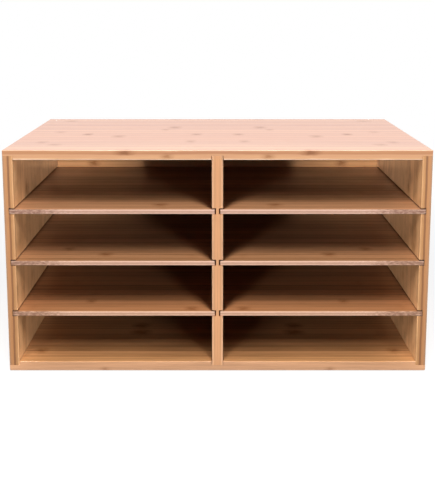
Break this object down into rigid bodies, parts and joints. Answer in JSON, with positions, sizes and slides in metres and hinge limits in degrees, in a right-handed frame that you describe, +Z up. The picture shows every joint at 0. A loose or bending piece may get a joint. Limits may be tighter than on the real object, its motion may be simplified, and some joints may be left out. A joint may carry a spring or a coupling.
{
  "type": "desk file organizer",
  "caption": "Open-fronted bamboo desk file organizer: a divided case whose loose shelves slide in grooves to form stacked paper compartments.",
  "frame": {"origin": "centre of the underside, on the surface that the organizer stands on", "axes": "+X to the right along the width, -Y out of the open front, +Z up"},
  "size_m": [0.508, 0.305, 0.273],
  "materials": {
    "case_bamboo": "carbonised bamboo under a satin clear lacquer",
    "shelf_bamboo": "carbonised bamboo under a satin clear lacquer",
    "back_bamboo": "carbonised bamboo under a satin clear lacquer",
    "screw_steel": "zinc plated"
  },
  "bodies": {
    "case": {"top_panel": "case_bamboo", "bottom_panel": "case_bamboo", "left_side_panel": "case_bamboo", "right_side_panel": "case_bamboo", "centre_divider": "case_bamboo", "back_panel": "back_bamboo", "bottom_screws": "screw_steel"},
    "left_lower_shelf": {"left_lower_shelf": "shelf_bamboo"},
    "left_middle_shelf": {"left_middle_shelf": "shelf_bamboo"},
    "left_upper_shelf": {"left_upper_shelf": "shelf_bamboo"},
    "right_lower_shelf": {"right_lower_shelf": "shelf_bamboo"},
    "right_middle_shelf": {"right_middle_shelf": "shelf_bamboo"},
    "right_upper_shelf": {"right_upper_shelf": "shelf_bamboo"}
  },
  "joints": [
    {"name": "left_lower_shelf_slide", "type": "slide", "parent": "case", "child": "left_lower_shelf", "axis": [0, -1, 0], "range_m": [0, 0.3]},
    {"name": "left_middle_shelf_slide", "type": "slide", "parent": "case", "child": "left_middle_shelf", "axis": [0, -1, 0], "range_m": [0, 0.3]},
    {"name": "left_upper_shelf_slide", "type": "slide", "parent": "case", "child": "left_upper_shelf", "axis": [0, -1, 0], "range_m": [0, 0.3]},
    {"name": "right_lower_shelf_slide", "type": "slide", "parent": "case", "child": "right_lower_shelf", "axis": [0, -1, 0], "range_m": [0, 0.3]},
    {"name": "right_middle_shelf_slide", "type": "slide", "parent": "case", "child": "right_middle_shelf", "axis": [0, -1, 0], "range_m": [0, 0.3]},
    {"name": "right_upper_shelf_slide", "type": "slide", "parent": "case", "child": "right_upper_shelf", "axis": [0, -1, 0], "range_m": [0, 0.3]}
  ]
}
